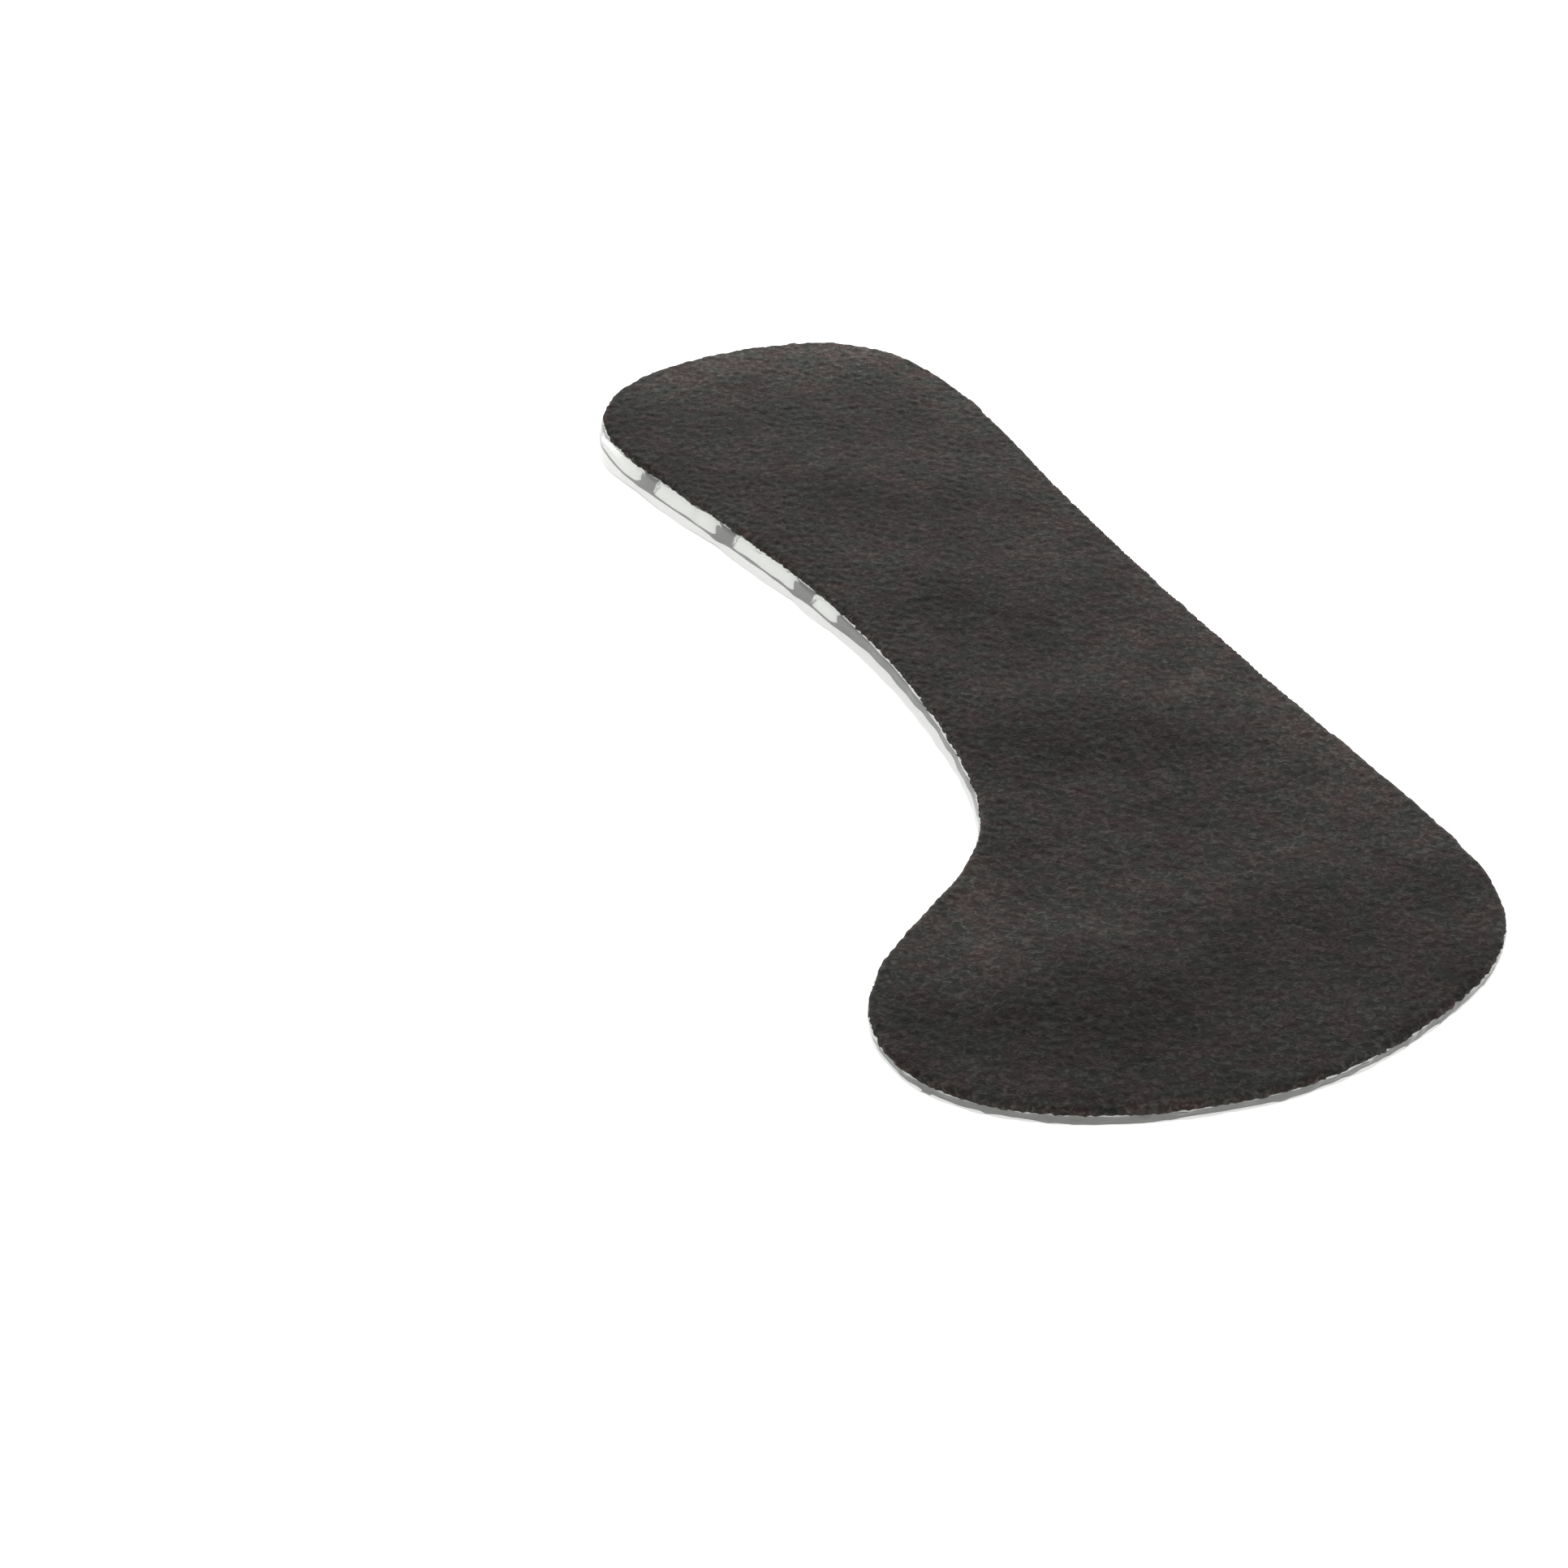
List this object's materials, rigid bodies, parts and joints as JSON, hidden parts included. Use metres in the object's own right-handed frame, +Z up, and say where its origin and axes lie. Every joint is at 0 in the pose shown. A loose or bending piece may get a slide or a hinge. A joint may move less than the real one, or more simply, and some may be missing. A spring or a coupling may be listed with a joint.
{
  "type": "three-quarter gel insole",
  "caption": "Thin left-foot insole that ends behind the toes: clear gel base with moulded heel cells, thinning to a fine front edge, under a charcoal napped cloth cover.",
  "frame": {"origin": "under the middle of the cover's box, on the surface that the insole lies on", "axes": "+Y from heel to toe, +X to the inner side of the foot, +Z up through the cloth"},
  "size_m": [0.0769, 0.181, 0.0045],
  "materials": {
    "clear_gel": "clear soft gel, smooth from the mould",
    "charcoal_cloth": "brushed napped microfibre, matt"
  },
  "bodies": {
    "root": {"gel_base": "clear_gel", "top_cover": "charcoal_cloth"}
  },
  "joints": []
}
